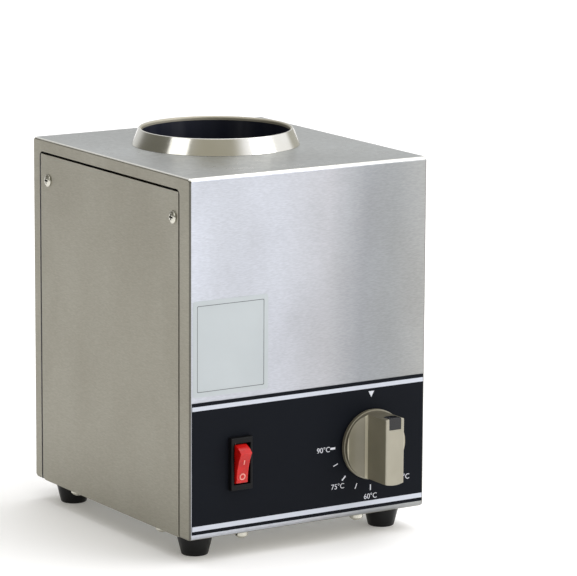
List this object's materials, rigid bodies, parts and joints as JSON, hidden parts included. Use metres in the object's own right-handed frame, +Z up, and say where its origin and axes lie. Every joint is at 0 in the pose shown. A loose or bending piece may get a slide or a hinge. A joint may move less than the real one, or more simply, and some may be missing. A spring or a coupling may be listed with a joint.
{
  "type": "topping warmer",
  "caption": "Electric bottle warmer: stainless box on rubber feet with a round heated well, thermostat knob and rocker switch.",
  "frame": {"origin": "on the table, under the middle of the whole warmer, knob and cable gland included", "axes": "+X to the right seen from the front, +Y to the back, +Z up along the well"},
  "size_m": [0.145, 0.2008, 0.2055],
  "materials": {
    "stainless_sheet": "fine vertical grain, satin",
    "zinc_sheet": "zinc plated, dull",
    "polished_steel": "turned and polished",
    "screw_steel": "bright plated",
    "dark_lining": "dark blue black coating",
    "heater_sheet": "heat tinted",
    "glass_fibre": "felted",
    "cutout_case": "plain",
    "overlay_film": "printed film, satin",
    "knob_plastic": "moulded, fine satin",
    "pointer_plastic": "moulded",
    "thermostat_case": "moulded",
    "copper": "drawn",
    "brass": "machined",
    "switch_plastic": "moulded",
    "rocker_plastic": "translucent red",
    "lamp_glass": "clear",
    "gland_plastic": "moulded",
    "block_plastic": "moulded",
    "rubber": "moulded, dull"
  },
  "bodies": {
    "box": {"casing": "stainless_sheet", "left_side_panel": "stainless_sheet", "right_side_panel": "stainless_sheet", "base_plate": "zinc_sheet", "panel_tabs": "zinc_sheet", "pot_hanger_ring": "zinc_sheet", "jacket_straps": "zinc_sheet", "bulb_clips": "zinc_sheet", "collar": "polished_steel", "side_panel_screws": "screw_steel", "base_screws": "screw_steel", "foot_screws": "screw_steel", "foot_nuts": "screw_steel", "hanger_studs": "screw_steel", "hanger_nuts": "screw_steel", "heater_clamp_screws": "screw_steel", "heater_clamp_nuts": "screw_steel", "cutout_studs": "screw_steel", "cutout_nuts": "screw_steel", "thermostat_screws": "screw_steel", "terminal_block_screws": "screw_steel", "well_pot": "dark_lining", "heater_band": "heater_sheet", "insulation_jacket": "glass_fibre", "thermal_cutout": "cutout_case", "control_overlay": "overlay_film", "thermostat_body": "thermostat_case", "capillary_tube": "copper", "sensor_bulb": "copper", "switch_terminals": "brass", "terminal_pole_screws": "brass", "earth_stud": "brass", "earth_nuts": "brass", "heater_terminals": "brass", "switch_housing": "switch_plastic", "switch_lamp": "lamp_glass", "cable_gland": "gland_plastic", "gland_nut": "gland_plastic", "gland_locknut": "gland_plastic", "terminal_block": "block_plastic", "foot_front_left": "rubber", "foot_front_right": "rubber", "foot_rear_left": "rubber", "foot_rear_right": "rubber", "gland_seal": "rubber"},
    "knob": {"knob": "knob_plastic", "knob_pointer": "pointer_plastic", "knob_spring_clip": "screw_steel", "thermostat_spindle": "screw_steel"},
    "rocker": {"switch_rocker": "rocker_plastic"}
  },
  "joints": [
    {"name": "knob_turn", "type": "hinge", "parent": "box", "child": "knob", "pos_m": [0.0376, -0.078, 0.0499], "axis": [0, 1, 0], "range_deg": [0, 270]},
    {"name": "rocker_tilt", "type": "hinge", "parent": "box", "child": "rocker", "pos_m": [-0.0422, -0.0788, 0.0497], "axis": [-1, 0, 0], "range_deg": [0, 30]}
  ]
}
